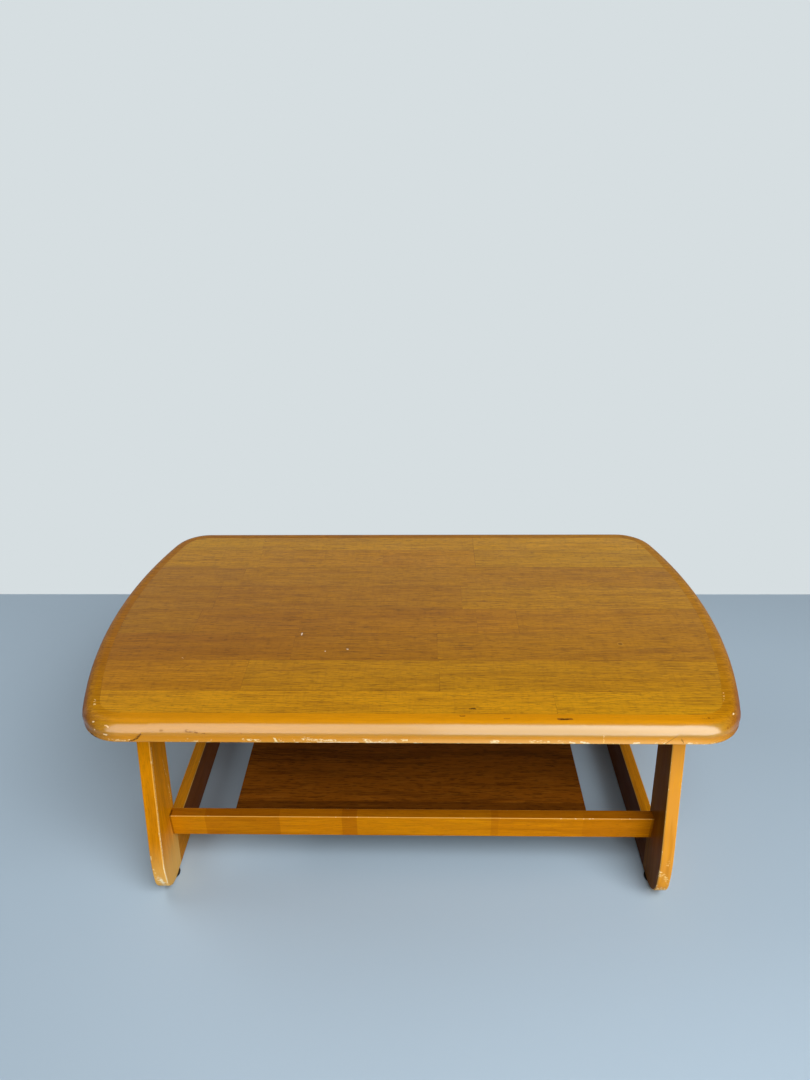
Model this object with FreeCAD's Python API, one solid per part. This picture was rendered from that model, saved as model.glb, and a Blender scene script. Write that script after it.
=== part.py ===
"""Low centre table: veneered top with a solid lipping on two splayed end frames, with a shelf.

Millimetres. X runs along the table, Y to the back, Z up. The origin is on the floor, at the
centre of the top. Each function makes the pieces of one sub-part as separate solids.
"""

import FreeCAD, Part
import math
import os

Vec = FreeCAD.Vector

# Top: a rectangle with bowed ends and rounded corners
top_length = 1200.0
top_depth = 668.0
table_height = 450.0
top_thickness = 37.0
end_bow = 61.0
corner_radius = 80.0
upper_round = 22.0
lower_round = 4.0
lipping_width = 32.0
veneer_thickness = 1.0
scarf_setback_left = 41.0
scarf_setback_right = 48.0
scarf_run = 37.0

# End frames: two splayed legs with a low rail and a top rail, all of one board thickness. The
# stand-out and the width are those the foot would have if the leg's edges ran straight to the
# floor. Below the knee the outer edge bends upright and ends in a large rounded toe.
board_thickness = 24.0
frame_overhang = 113.0
foot_stand_out = 8.0
foot_width = 95.0
leg_top_setback = 88.0
leg_top_width = 68.0
knee_height = 87.0
knee_bend_share = 0.4
toe_round_share = 0.52
low_rail_height = 86.0
top_rail_height = 60.0
board_arris = 2.5

# Stretchers between the end frames
stretcher_thickness = 21.0
stretcher_height = 51.0
stretcher_floor_gap = 95.0
stretcher_setback = 5.0
stretcher_arris = 2.0

# Shelf on cleats between the stretchers
shelf_thickness = 9.0
shelf_drop = 12.0
shelf_end_gap = 121.0
shelf_side_gap = 1.0
shelf_arris = 1.5
cleat_width = 18.0
cleat_height = 18.0
cleat_setback = 20.0
cleat_arris = 1.0

# Glides under the feet
glide_diameter = 30.0
glide_height = 3.0
glide_round = 1.2
glide_inset = 54.0
glide_nail_diameter = 2.6
glide_nail_length = 16.0
glide_nail_head_diameter = 6.0
glide_nail_head_height = 1.0

# Dowels
dowel_diameter = 8.0
dowel_length = 50.0
dowel_chamfer = 1.0
frame_dowel_shares = (0.33, 0.73)
stretcher_dowel_shares = (0.2, 0.8)

# Screws: shank diameter, head diameter, length
stretcher_screw_shank = 5.0
stretcher_screw_head = 9.6
stretcher_screw_length = 60.0
plug_diameter = 12.0
plug_depth = 7.0
plug_proud = 0.4
top_screw_shank = 4.5
top_screw_head = 8.8
top_screw_length = 50.0
top_screw_sink = 30.0
top_screw_sink_diameter = 12.0
top_screw_shares = (-0.7, 0.0, 0.7)
cleat_screw_shank = 3.5
cleat_screw_head = 7.0
cleat_screw_length = 30.0
cleat_screw_shares = (-0.44, -0.16, 0.16, 0.44)
shelf_screw_shank = 3.5
shelf_screw_head = 7.0
shelf_screw_length = 23.0
shelf_screw_shares = (-0.34, 0.0, 0.34)

# Proportions of every wood screw, as shares of its own sizes
screw_point_share = 0.16
cross_depth_share = 0.22
cross_length_share = 0.55
cross_width_share = 0.13

# Radial clearance round a fastener in its hole, and how far cutting tools overrun
fastener_clearance = 0.1
overrun = 5.0

# Levels and places that follow from the sizes above
top_underside = table_height - top_thickness
foot_level = glide_height
half_length = top_length / 2
half_depth = top_depth / 2
frame_outer = half_length - frame_overhang
frame_inner = frame_outer - board_thickness
frame_middle = (frame_outer + frame_inner) / 2
knee_level = foot_level + knee_height
low_rail_top = foot_level + low_rail_height
top_rail_bottom = top_underside - top_rail_height
stretcher_top = stretcher_floor_gap + stretcher_height
stretcher_middle = stretcher_floor_gap + stretcher_height / 2
shelf_top = stretcher_top - shelf_drop
shelf_bottom = shelf_top - shelf_thickness
cleat_bottom = shelf_bottom - cleat_height

pieces = {}


def leg_front_edge(level):
    """Distance from the table's middle to a leg's outer edge, at a height above the floor."""
    foot = half_depth + foot_stand_out
    head = half_depth - leg_top_setback
    return foot + (head - foot) * (level - foot_level) / (top_underside - foot_level)


def leg_back_edge(level):
    """Distance from the table's middle to a leg's inner edge, at a height above the floor."""
    foot = half_depth + foot_stand_out - foot_width
    head = half_depth - leg_top_setback - leg_top_width
    return foot + (head - foot) * (level - foot_level) / (top_underside - foot_level)


stretcher_back = leg_back_edge(stretcher_middle) + stretcher_setback
stretcher_front = stretcher_back + stretcher_thickness
stretcher_line = (stretcher_back + stretcher_front) / 2
toe_line = leg_front_edge(knee_level)
glide_line = toe_line - glide_inset
shelf_half_length = frame_inner - shelf_end_gap
shelf_half_depth = stretcher_back - shelf_side_gap
cleat_half_length = shelf_half_length - cleat_setback
cleat_line = stretcher_back - cleat_width / 2


def block(x_low, x_high, y_low, y_high, z_low, z_high):
    """A box between two corners."""
    size = (x_high - x_low, y_high - y_low, z_high - z_low)
    return Part.makeBox(*size, Vec(x_low, y_low, z_low))


def eased_board(solid, radius):
    """A board with all its edges eased."""
    return solid.makeFillet(radius, solid.Edges)


def eased_rail(solid, radius):
    """A rail along X with only its long edges eased, so that its ends butt squarely."""
    long_edges = [edge for edge in solid.Edges if edge.BoundBox.XLength > radius]
    return solid.makeFillet(radius, long_edges)


def prism_x(points, x_low, x_high):
    """Extrude a closed outline of (y, z) points along X."""
    corners = [Vec(x_low, y, z) for y, z in points]
    wire = Part.makePolygon(corners + corners[:1])
    return Part.Face(wire).extrude(Vec(x_high - x_low, 0, 0))


def prism_y(points, y_low, y_high):
    """Extrude a closed outline of (x, z) points along Y."""
    corners = [Vec(x, y_low, z) for x, z in points]
    wire = Part.makePolygon(corners + corners[:1])
    return Part.Face(wire).extrude(Vec(0, y_high - y_low, 0))


def place(solid, position, direction):
    """Put a solid made along +Z from the origin at a position, pointing along a direction."""
    placed = solid.copy()
    turn = FreeCAD.Rotation(Vec(0, 0, 1), direction)
    placed.Placement = FreeCAD.Placement(position, turn).multiply(placed.Placement)
    return placed


def single(shape):
    """The one solid that a cut or a common part leaves."""
    return max(shape.Solids, key=lambda solid: solid.Volume)


def cut_holes(names, tools):
    """Cut the same tools from each named piece."""
    for name in names:
        pieces[name] = single(pieces[name].cut(tools))


# Fasteners


def wood_screw(shank, head, length):
    """A countersunk wood screw with a cross recess, its head's face at the origin, along +Z."""
    head_height = (head - shank) / 2
    point = length * screw_point_share
    cone = Part.makeCone(head / 2, shank / 2, head_height)
    body = Part.makeCylinder(shank / 2, length - head_height - point, Vec(0, 0, head_height))
    tip = Part.makeCone(shank / 2, 0, point, Vec(0, 0, length - point))
    screw = cone.fuse([body, tip]).removeSplitter()
    slot_length = head * cross_length_share
    slot_width = head * cross_width_share
    slot_depth = head * cross_depth_share
    slots = []
    for long_side, short_side in ((slot_length, slot_width), (slot_width, slot_length)):
        half_long = long_side / 2
        half_short = short_side / 2
        slots.append(block(-half_long, half_long, -half_short, half_short, -overrun, slot_depth))
    return single(screw.cut(slots))


def screw_hole(shank, head, length):
    """The hole that a wood screw sits in, clear of it all round and open above its head."""
    gap = fastener_clearance
    head_height = (head - shank) / 2
    radius = head / 2 + gap
    mouth = Part.makeCylinder(radius, overrun, Vec(0, 0, -overrun))
    cone = Part.makeCone(radius, shank / 2 + gap, head_height)
    body = Part.makeCylinder(shank / 2 + gap, length + gap - head_height, Vec(0, 0, head_height))
    return mouth.fuse([cone, body]).removeSplitter()


def dowel():
    """A dowel with chamfered ends, its middle at the origin, along Z."""
    rod = Part.makeCylinder(dowel_diameter / 2, dowel_length, Vec(0, 0, -dowel_length / 2))
    rims = [edge for edge in rod.Edges if len(edge.Vertexes) == 1]
    return rod.makeChamfer(dowel_chamfer, rims)


def dowel_hole():
    """The hole for a dowel, clear of it at its sides and ends."""
    radius = dowel_diameter / 2 + fastener_clearance
    half = dowel_length / 2 + fastener_clearance
    return Part.makeCylinder(radius, 2 * half, Vec(0, 0, -half))


# Top


def top_outline(inset):
    """The top's outline, or the same outline drawn in by an inset, as a closed wire."""
    end_radius = (end_bow ** 2 + half_depth ** 2) / (2 * end_bow)
    end_centre = half_length - end_radius
    corner_y = half_depth - corner_radius
    reach = math.sqrt((end_radius - corner_radius) ** 2 - corner_y ** 2)
    corner_x = end_centre + reach
    meeting = math.atan2(corner_y, reach)
    halfway = (meeting + math.pi / 2) / 2
    end_r = end_radius - inset
    corner_r = corner_radius - inset
    side_y = half_depth - inset

    def on_corner(sign_x, sign_y, angle):
        x = corner_x + corner_r * math.cos(angle)
        y = corner_y + corner_r * math.sin(angle)
        return Vec(sign_x * x, sign_y * y, 0)

    edges = []
    for side in (-1, 1):
        start = Vec(side * corner_x, side * side_y, 0)
        finish = Vec(-side * corner_x, side * side_y, 0)
        edges.append(Part.makeLine(finish, start))
        near = on_corner(side, side, meeting)
        edges.append(Part.Arc(start, on_corner(side, side, halfway), near).toShape())
        end_middle = Vec(side * (end_centre + end_r), 0, 0)
        far = on_corner(side, -side, meeting)
        edges.append(Part.Arc(near, end_middle, far).toShape())
        last = Vec(side * corner_x, -side * side_y, 0)
        edges.append(Part.Arc(far, on_corner(side, -side, halfway), last).toShape())
    return Part.Wire(Part.__sortEdges__(edges)), corner_x


def slab(inset, z_low, z_high):
    """The top's outline drawn in by an inset, as a board between two levels."""
    wire, _ = top_outline(inset)
    board = Part.Face(wire).extrude(Vec(0, 0, z_high - z_low))
    board.translate(Vec(0, 0, z_low))
    return board


def rim_edges(solid, level):
    """The edges of a solid that lie at one level."""
    found = []
    for edge in solid.Edges:
        box = edge.BoundBox
        if abs(box.ZMin - level) < fastener_clearance and abs(box.ZMax - level) < fastener_clearance:
            found.append(edge)
    return found


def scarf_gap(side):
    """The stretch of the lipping ring between its two scarf joints, on one long side."""
    _, corner_x = top_outline(0)
    low = top_underside - overrun
    high = table_height + overrun
    lean = scarf_run * (high - low) / top_thickness / 2
    left = -corner_x + scarf_setback_left
    right = corner_x - scarf_setback_right
    outline = [(left - lean, low), (right - lean, low), (right + lean, high), (left + lean, high)]
    near = half_depth - corner_radius
    far = half_depth + overrun
    return prism_y(outline, min(side * near, side * far), max(side * near, side * far))


def make_top():
    """Core board, two veneers and the four parts of the lipping."""
    board = slab(0, top_underside, table_height)
    board = board.makeFillet(upper_round, rim_edges(board, table_height))
    board = board.makeFillet(lower_round, rim_edges(board, top_underside))
    field = slab(lipping_width, top_underside - overrun, table_height + overrun)
    ring = single(board.cut(field))
    gaps = {"front": scarf_gap(-1), "back": scarf_gap(1)}
    for name, gap in gaps.items():
        pieces["lipping_" + name] = single(ring.common(gap))
    for name, side in (("left", -1), ("right", 1)):
        x_ends = sorted((0, side * (half_length + overrun)))
        depth = half_depth + overrun
        half = block(*x_ends, -depth, depth, top_underside - overrun, table_height + overrun)
        pieces["lipping_" + name] = single(ring.common(half).cut(list(gaps.values())))
    core_low = top_underside + veneer_thickness
    core_high = table_height - veneer_thickness
    pieces["top_core"] = slab(lipping_width, core_low, core_high)
    pieces["top_veneer_face"] = slab(lipping_width, core_high, table_height)
    pieces["top_veneer_back"] = slab(lipping_width, top_underside, core_low)


# End frames


def mirrored(reaches):
    """A closed outline from (y, z) points up its right side, mirrored for its left side."""
    return list(reaches) + [(-y, z) for y, z in reversed(reaches)]


def edges_through(board, level):
    """The edges that run through a frame board's thickness at one level."""
    found = rim_edges(board, level)
    return [edge for edge in found if edge.BoundBox.XLength > board_thickness / 2]


def frame_blank(x_low, x_high):
    """The whole end frame as one board with eased edges, before it is parted at its joints."""
    head = leg_front_edge(top_underside)
    outline = mirrored([(toe_line, foot_level), (toe_line, knee_level), (head, top_underside)])
    opening = mirrored([(leg_back_edge(level), level) for level in (low_rail_top, top_rail_bottom)])
    lean = math.atan2(toe_line - head, top_underside - knee_level)
    bend_radius = knee_height * knee_bend_share / math.tan(lean / 2)
    board = prism_x(outline, x_low, x_high)
    board = board.makeFillet(knee_height * toe_round_share, edges_through(board, foot_level))
    board = board.makeFillet(bend_radius, edges_through(board, knee_level))
    board = board.cut(prism_x(opening, x_low - overrun, x_high + overrun))
    face_edges = []
    for edge in board.Edges:
        box = edge.BoundBox
        if box.XLength < board_thickness / 2 and box.ZMin < top_underside - fastener_clearance:
            face_edges.append(edge)
    return single(board.makeFillet(board_arris, face_edges))


def joint_line(sign, level):
    """A point on the joint between a leg and its rails."""
    return (sign * leg_back_edge(level), level)


def leg_region(sign):
    """The outline that parts one leg from the frame board, running clear through the opening."""
    low = foot_level - overrun
    high = top_underside + overrun
    far = half_depth + foot_stand_out + overrun
    inner_low = (sign * (leg_back_edge(low_rail_top) - overrun), low_rail_top + overrun)
    inner_high = (sign * (leg_back_edge(top_rail_bottom) - overrun), top_rail_bottom - overrun)
    return [
        (sign * far, low),
        joint_line(sign, low),
        joint_line(sign, low_rail_top),
        inner_low,
        inner_high,
        joint_line(sign, top_rail_bottom),
        joint_line(sign, high),
        (sign * far, high),
    ]


def rail_region(end_level, opening_level):
    """The outline that parts a rail from the frame board, from its outer level to the opening."""
    step = math.copysign(overrun, opening_level - end_level)
    outline = [joint_line(-1, end_level - step), joint_line(1, end_level - step)]
    outline.append(joint_line(1, opening_level))
    inner = leg_back_edge(opening_level) - overrun
    outline += [(inner, opening_level + step), (-inner, opening_level + step)]
    outline.append(joint_line(-1, opening_level))
    return outline


def make_end_frame(name, side):
    """Two legs, the low rail and the top rail of one end."""
    x_low, x_high = sorted((side * frame_inner, side * frame_outer))
    blank = frame_blank(x_low, x_high)
    regions = {
        "leg_front_" + name: leg_region(-1),
        "leg_rear_" + name: leg_region(1),
        "low_rail_" + name: rail_region(foot_level, low_rail_top),
        "top_rail_" + name: rail_region(top_underside, top_rail_bottom),
    }
    for piece, outline in regions.items():
        region = prism_x(outline, x_low - overrun, x_high + overrun)
        pieces[piece] = single(blank.common(region))


def make_frame_dowels():
    """Dowels between the legs and their rails, with their holes."""
    dowels = []
    for name, side in (("left", -1), ("right", 1)):
        for depth_name, sign in (("front", -1), ("rear", 1)):
            leg = "leg_" + depth_name + "_" + name
            for rail, low, height in (("low_rail_", foot_level, low_rail_height),
                                      ("top_rail_", top_rail_bottom, top_rail_height)):
                levels = [low + height * share for share in frame_dowel_shares]
                spots = [Vec(side * frame_middle, *joint_line(sign, level)) for level in levels]
                tools = [place(dowel_hole(), spot, Vec(0, 1, 0)) for spot in spots]
                cut_holes([leg, rail + name], tools)
                dowels += [place(dowel(), spot, Vec(0, 1, 0)) for spot in spots]
    pieces["frame_dowels"] = Part.makeCompound(dowels)


# Stretchers and shelf


def make_stretchers():
    """The front and the rear stretcher between the end frames."""
    for name, sign in (("front", -1), ("rear", 1)):
        y_ends = sorted((sign * stretcher_front, sign * stretcher_back))
        bar = block(-frame_inner, frame_inner, *y_ends, stretcher_floor_gap, stretcher_top)
        pieces["stretcher_" + name] = eased_rail(bar, stretcher_arris)


def make_stretcher_joints():
    """Dowels, screws and plugs that hold the stretchers to the legs."""
    dowels = []
    screws = []
    plugs = []
    size = (stretcher_screw_shank, stretcher_screw_head, stretcher_screw_length)
    for name, side in (("left", -1), ("right", 1)):
        for depth_name, sign in (("front", -1), ("rear", 1)):
            owners = ["leg_" + depth_name + "_" + name, "stretcher_" + depth_name]
            y = sign * stretcher_line
            tools = []
            for share in stretcher_dowel_shares:
                level = stretcher_floor_gap + stretcher_height * share
                reach = frame_inner + board_thickness / 2 - dowel_length / 2
                spot = Vec(side * reach, y, level)
                tools.append(place(dowel_hole(), spot, Vec(1, 0, 0)))
                dowels.append(place(dowel(), spot, Vec(1, 0, 0)))
            inward = Vec(-side, 0, 0)
            seat = Vec(side * (frame_outer - plug_depth), y, stretcher_middle)
            tools.append(place(screw_hole(*size), seat, inward))
            mouth_radius = plug_diameter / 2 + fastener_clearance
            mouth = Part.makeCylinder(mouth_radius, plug_depth + overrun, seat, -inward)
            tools.append(mouth)
            screws.append(place(wood_screw(*size), seat, inward))
            plug = Part.makeCylinder(plug_diameter / 2, plug_depth + plug_proud)
            plug = plug.makeFillet(plug_proud / 2, rim_edges(plug, plug_depth + plug_proud))
            plugs.append(place(plug, seat, Vec(side, 0, 0)))
            cut_holes(owners, tools)
    pieces["stretcher_dowels"] = Part.makeCompound(dowels)
    pieces["stretcher_screws"] = Part.makeCompound(screws)
    pieces["screw_plugs"] = Part.makeCompound(plugs)


def make_shelf():
    """The shelf, its two cleats and the screws that hold them."""
    width = (-shelf_half_length, shelf_half_length)
    depth = (-shelf_half_depth, shelf_half_depth)
    pieces["shelf"] = eased_board(block(*width, *depth, shelf_bottom, shelf_top), shelf_arris)
    cleat_screws = []
    shelf_screws = []
    cleat_size = (cleat_screw_shank, cleat_screw_head, cleat_screw_length)
    shelf_size = (shelf_screw_shank, shelf_screw_head, shelf_screw_length)
    level = cleat_bottom + cleat_height / 2
    for name, sign in (("front", -1), ("rear", 1)):
        cleat = "shelf_cleat_" + name
        y_ends = sorted((sign * stretcher_back, sign * (stretcher_back - cleat_width)))
        strip = block(-cleat_half_length, cleat_half_length, *y_ends, cleat_bottom, shelf_bottom)
        pieces[cleat] = eased_rail(strip, cleat_arris)
        outward = Vec(0, sign, 0)
        spots = [Vec(2 * cleat_half_length * share, sign * (stretcher_back - cleat_width), level)
                 for share in cleat_screw_shares]
        cut_holes([cleat, "stretcher_" + name],
                  [place(screw_hole(*cleat_size), spot, outward) for spot in spots])
        cleat_screws += [place(wood_screw(*cleat_size), spot, outward) for spot in spots]
        spots = [Vec(2 * cleat_half_length * share, sign * cleat_line, cleat_bottom)
                 for share in shelf_screw_shares]
        cut_holes([cleat, "shelf"],
                  [place(screw_hole(*shelf_size), spot, Vec(0, 0, 1)) for spot in spots])
        shelf_screws += [place(wood_screw(*shelf_size), spot, Vec(0, 0, 1)) for spot in spots]
    pieces["cleat_screws"] = Part.makeCompound(cleat_screws)
    pieces["shelf_screws"] = Part.makeCompound(shelf_screws)


def make_top_screws():
    """Screws in deep counterbores that hold the top down on the top rails."""
    size = (top_screw_shank, top_screw_head, top_screw_length)
    screws = []
    upward = Vec(0, 0, 1)
    for name, side in (("left", -1), ("right", 1)):
        spots = []
        for share in top_screw_shares:
            y = leg_back_edge(top_rail_bottom) * share
            spots.append(Vec(side * frame_middle, y, top_rail_bottom + top_screw_sink))
        tools = [place(screw_hole(*size), spot, upward) for spot in spots]
        for spot in spots:
            radius = top_screw_sink_diameter / 2
            sink = Part.makeCylinder(radius, top_screw_sink + overrun, spot, Vec(0, 0, -1))
            tools.append(sink)
        cut_holes(["top_rail_" + name, "top_veneer_back", "top_core"], tools)
        screws += [place(wood_screw(*size), spot, upward) for spot in spots]
    pieces["top_screws"] = Part.makeCompound(screws)


def make_glides():
    """Round glides nailed under the four feet."""
    nails = []
    radius = glide_nail_diameter / 2
    head_radius = glide_nail_head_diameter / 2
    gap = fastener_clearance
    upward = Vec(0, 0, 1)
    for name, side in (("left", -1), ("right", 1)):
        for depth_name, sign in (("front", -1), ("rear", 1)):
            spot = Vec(side * frame_middle, sign * glide_line, 0)
            head_base = spot + Vec(0, 0, glide_height / 2)
            shank = Part.makeCylinder(radius, glide_nail_length, head_base)
            tip = Part.makeCone(radius, 0, glide_nail_diameter, head_base + Vec(0, 0, glide_nail_length))
            head = Part.makeCylinder(head_radius, glide_nail_head_height, head_base)
            nails.append(single(shank.fuse([tip, head]).removeSplitter()))
            bore_length = glide_nail_length + glide_nail_diameter + gap
            bore = Part.makeCylinder(radius + gap, bore_length, head_base)
            sink_length = glide_nail_head_height + glide_height / 2 + overrun
            sink = Part.makeCylinder(head_radius + gap, sink_length, spot - upward * overrun)
            disc = Part.makeCylinder(glide_diameter / 2, glide_height, spot)
            disc = disc.makeFillet(glide_round, rim_edges(disc, 0))
            glide = "glide_" + depth_name + "_" + name
            pieces[glide] = single(disc.cut([bore, sink]))
            cut_holes(["leg_" + depth_name + "_" + name], [bore])
    pieces["glide_nails"] = Part.makeCompound(nails)


make_top()
make_end_frame("left", -1)
make_end_frame("right", 1)
make_stretchers()
make_frame_dowels()
make_stretcher_joints()
make_shelf()
make_top_screws()
make_glides()

os.makedirs("parts", exist_ok=True)
for node, shape in pieces.items():
    shape.exportStep("parts/" + node + ".step")
    print(node, len(shape.Solids), "solids", round(shape.Volume), "mm3", "valid", shape.isValid())
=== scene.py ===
"""Looks of a low wooden centre table: lacquered hardwood, a strip-veneered top and a thin shelf.

Metres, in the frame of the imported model: X along the table, Y to its back, Z up.
"""

import logging
import math
from dataclasses import dataclass, replace
from enum import Enum
from typing import Iterable, Sequence, Union

import bmesh
import bpy
from mathutils import Matrix, Vector


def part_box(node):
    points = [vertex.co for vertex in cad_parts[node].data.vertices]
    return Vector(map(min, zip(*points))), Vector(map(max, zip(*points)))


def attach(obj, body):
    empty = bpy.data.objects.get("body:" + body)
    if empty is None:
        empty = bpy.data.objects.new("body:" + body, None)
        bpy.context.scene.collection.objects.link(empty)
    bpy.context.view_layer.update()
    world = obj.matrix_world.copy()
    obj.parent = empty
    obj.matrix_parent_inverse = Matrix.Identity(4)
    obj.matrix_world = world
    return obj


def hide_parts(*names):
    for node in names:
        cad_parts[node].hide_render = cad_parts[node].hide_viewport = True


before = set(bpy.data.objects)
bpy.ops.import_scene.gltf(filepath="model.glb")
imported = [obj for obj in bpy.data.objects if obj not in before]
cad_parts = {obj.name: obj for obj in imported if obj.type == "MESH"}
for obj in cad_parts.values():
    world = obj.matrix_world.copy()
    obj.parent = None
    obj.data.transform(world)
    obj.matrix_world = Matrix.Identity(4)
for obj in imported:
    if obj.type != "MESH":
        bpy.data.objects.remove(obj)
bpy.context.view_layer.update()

log = logging.getLogger("table")

MM = 0.001
BODY = "root"
IMAGE_WIDTH = 810
IMAGE_HEIGHT = 1080
TINY = 1e-9
NOISE_MIDDLE = 0.5
LIPPINGS = ("lipping_front", "lipping_back", "lipping_left", "lipping_right")

Point = tuple[float, float, float]
Socket = bpy.types.NodeSocket
Tree = bpy.types.NodeTree
Feed = Union[Socket, float, Sequence[float]]


def linear(colour: str) -> tuple[float, float, float, float]:
    """Turn an sRGB hex colour into linear light.

    Args:
        colour: six hex digits, such as "b4691e".

    Returns:
        Red, green and blue in linear light, and an alpha of 1.
    """
    values = [int(colour[i:i + 2], 16) / 255 for i in (0, 2, 4)]
    light = [v / 12.92 if v <= 0.04045 else ((v + 0.055) / 1.055) ** 2.4 for v in values]
    return (light[0], light[1], light[2], 1.0)


class Kind(Enum):
    """The kinds of node in use.

    Each has Blender's name for it, the inputs that are fed, in their order, the output that is
    read, and its settings.
    """

    PRINCIPLED = ("ShaderNodeBsdfPrincipled", (), "BSDF", {})
    CLEAR = ("ShaderNodeBsdfTransparent", (), 0, {})
    EITHER = ("ShaderNodeMixShader", (0, 1, 2), 0, {})
    PLACE = ("ShaderNodeTexCoord", (), "Object", {})
    NORMAL = ("ShaderNodeTexCoord", (), "Normal", {})
    SKYWARD = ("ShaderNodeTexCoord", (), "Generated", {})
    BEHIND = ("ShaderNodeNewGeometry", (), "Backfacing", {})
    RAY = ("ShaderNodeLightPath", (), "Is Camera Ray", {})
    ATTRIBUTE = ("ShaderNodeAttribute", (), "Fac", {})
    NOISE = ("ShaderNodeTexNoise", ("Vector", "Scale", "Detail"), "Fac", {})
    SPREAD = ("ShaderNodeMapRange", ("Value", "From Min", "From Max", "To Min", "To Max"), 0,
              {"interpolation_type": "SMOOTHSTEP"})
    BUMP = ("ShaderNodeBump", ("Height", "Strength", "Distance"), 0, {})
    MIX = ("ShaderNodeMix", (0, 6, 7), 2, {"data_type": "RGBA"})
    SHADE = ("ShaderNodeMix", (0, 6, 7), 2, {"data_type": "RGBA", "blend_type": "MULTIPLY"})
    TIMES = ("ShaderNodeMath", (0, 1), 0, {"operation": "MULTIPLY"})
    PLUS = ("ShaderNodeMath", (0, 1), 0, {"operation": "ADD"})
    MINUS = ("ShaderNodeMath", (0, 1), 0, {"operation": "SUBTRACT"})
    SIZE = ("ShaderNodeMath", (0,), 0, {"operation": "ABSOLUTE"})
    SPLIT = ("ShaderNodeSeparateXYZ", (0,), 0, {})
    ASIDE = ("ShaderNodeCombineXYZ", ("Y",), 0, {})
    TURN = ("ShaderNodeVectorRotate", ("Vector", "Rotation"), 0,
            {"rotation_type": "EULER_XYZ"})
    MOVE = ("ShaderNodeVectorMath", (0, 1), 0, {"operation": "ADD"})
    OFFSET = ("ShaderNodeVectorMath", (0, 1), 0, {"operation": "SUBTRACT"})
    BY_PARTS = ("ShaderNodeVectorMath", (0, 1), 0, {"operation": "MULTIPLY"})
    SCALE = ("ShaderNodeVectorMath", (0, "Scale"), 0, {"operation": "SCALE"})
    DOT = ("ShaderNodeVectorMath", (0, 1), "Value", {"operation": "DOT_PRODUCT"})
    LENGTH = ("ShaderNodeVectorMath", (0,), "Value", {"operation": "LENGTH"})


def set_inputs(tree: Tree, node: bpy.types.Node, feeds: dict[Union[int, str], Feed]) -> None:
    """Set or link several of a node's inputs.

    Args:
        tree: the node tree.
        node: the node.
        feeds: for each input, by name or number, a value or the socket that drives it.
    """
    for key, value in feeds.items():
        if isinstance(value, bpy.types.NodeSocket):
            tree.links.new(value, node.inputs[key])
        else:
            node.inputs[key].default_value = value


def add(tree: Tree, kind: Kind, *feeds: Feed, out: Union[int, str, None] = None,
        **settings: object) -> Socket:
    """Add a node, set it up and link what feeds it.

    Args:
        tree: the node tree.
        kind: the kind of node.
        feeds: for each of the kind's inputs, a value or the socket that drives it.
        out: the output to give back, where it isn't the kind's own.
        settings: more of the node's own properties.

    Returns:
        The chosen output socket.
    """
    name, inputs, usual, fixed = kind.value
    node = tree.nodes.new(name)
    for key, value in {**fixed, **settings}.items():
        setattr(node, key, value)
    set_inputs(tree, node, dict(zip(inputs, feeds)))
    return node.outputs[usual if out is None else out]


def chain(tree: Tree, kind: Kind, *values: Feed) -> Feed:
    """Take several values together, two at a time, by one kind of node.

    Args:
        tree: the node tree.
        kind: the kind of node, such as PLUS or TIMES.
        values: the values, or the sockets that give them.

    Returns:
        The socket of the last node, or the value where there is one alone.
    """
    result = values[0]
    for value in values[1:]:
        result = add(tree, kind, result, value)
    return result


@dataclass(frozen=True)
class Grit:
    """Noise of a real size: its features' width across the grain and run along it, in mm."""

    width: float
    run: float
    detail: float = 2.0

    def draw(self, tree: Tree, place: Socket) -> Socket:
        """The noise, from 0 to 1, at places in metres that have the grain along X."""
        scale = [1 / (size * MM) for size in (self.run, self.width, self.width)]
        return add(tree, Kind.NOISE, add(tree, Kind.BY_PARTS, place, scale), 1.0, self.detail)


@dataclass(frozen=True)
class Relief:
    """A fine relief: its grit, its depth in mm and how much of it the light shows."""

    grit: Grit
    depth: float
    strength: float

    def bend(self, tree: Tree, place: Socket) -> Socket:
        """The normal that the relief gives at a place."""
        height = self.grit.draw(tree, place)
        return add(tree, Kind.BUMP, height, self.strength, self.depth * MM)


@dataclass(frozen=True)
class Band:
    """A smooth step: a value at start gives least, one at full gives most.

    Start may be above full, which turns the step round.
    """

    start: float
    full: float
    most: float = 1.0
    least: float = 0.0

    def spread(self, tree: Tree, value: Socket) -> Socket:
        """Spread a value over the step, level before and after it."""
        return add(tree, Kind.SPREAD, value, self.start, self.full, self.least, self.most)


class Axis(Enum):
    """What a fade reads: the place across, in depth or in height, or how far out it lies."""

    ACROSS = 0
    DEPTH = 1
    HEIGHT = 2
    REACH = 3

    def read(self, tree: Tree) -> Socket:
        """The place in metres.

        Args:
            tree: the node tree.

        Returns:
            The coordinate, or for the reach the distance from the middle of the length.
        """
        if self is Axis.REACH:
            return add(tree, Kind.SIZE, Axis.ACROSS.read(tree))
        return add(tree, Kind.SPLIT, add(tree, Kind.PLACE), out=self.value)


@dataclass(frozen=True)
class Fade:
    """Where a look fades in: the step from least to most along an axis, in metres."""

    axis: Axis
    start: float
    full: float
    most: float = 1.0
    least: float = 0.0

    def share(self, tree: Tree) -> Socket:
        """How much of the look there is at each place."""
        step = Band(self.start, self.full, self.most, self.least)
        return step.spread(tree, self.axis.read(tree))


def area(tree: Tree, *fades: Fade) -> Socket:
    """The share of a look that several fades leave together."""
    return chain(tree, Kind.TIMES, *(fade.share(tree) for fade in fades))


@dataclass(frozen=True)
class Patch:
    """A part of the surface with a tone of its own, laid where its fades meet."""

    colour: str
    fades: tuple[Fade, ...]
    kind: Kind = Kind.MIX

    def lay(self, tree: Tree, colour: Feed) -> Socket:
        """Lay the tone over a colour, and give back the result."""
        share = area(tree, *self.fades)
        return add(tree, self.kind, share, colour, linear(self.colour))


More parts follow.
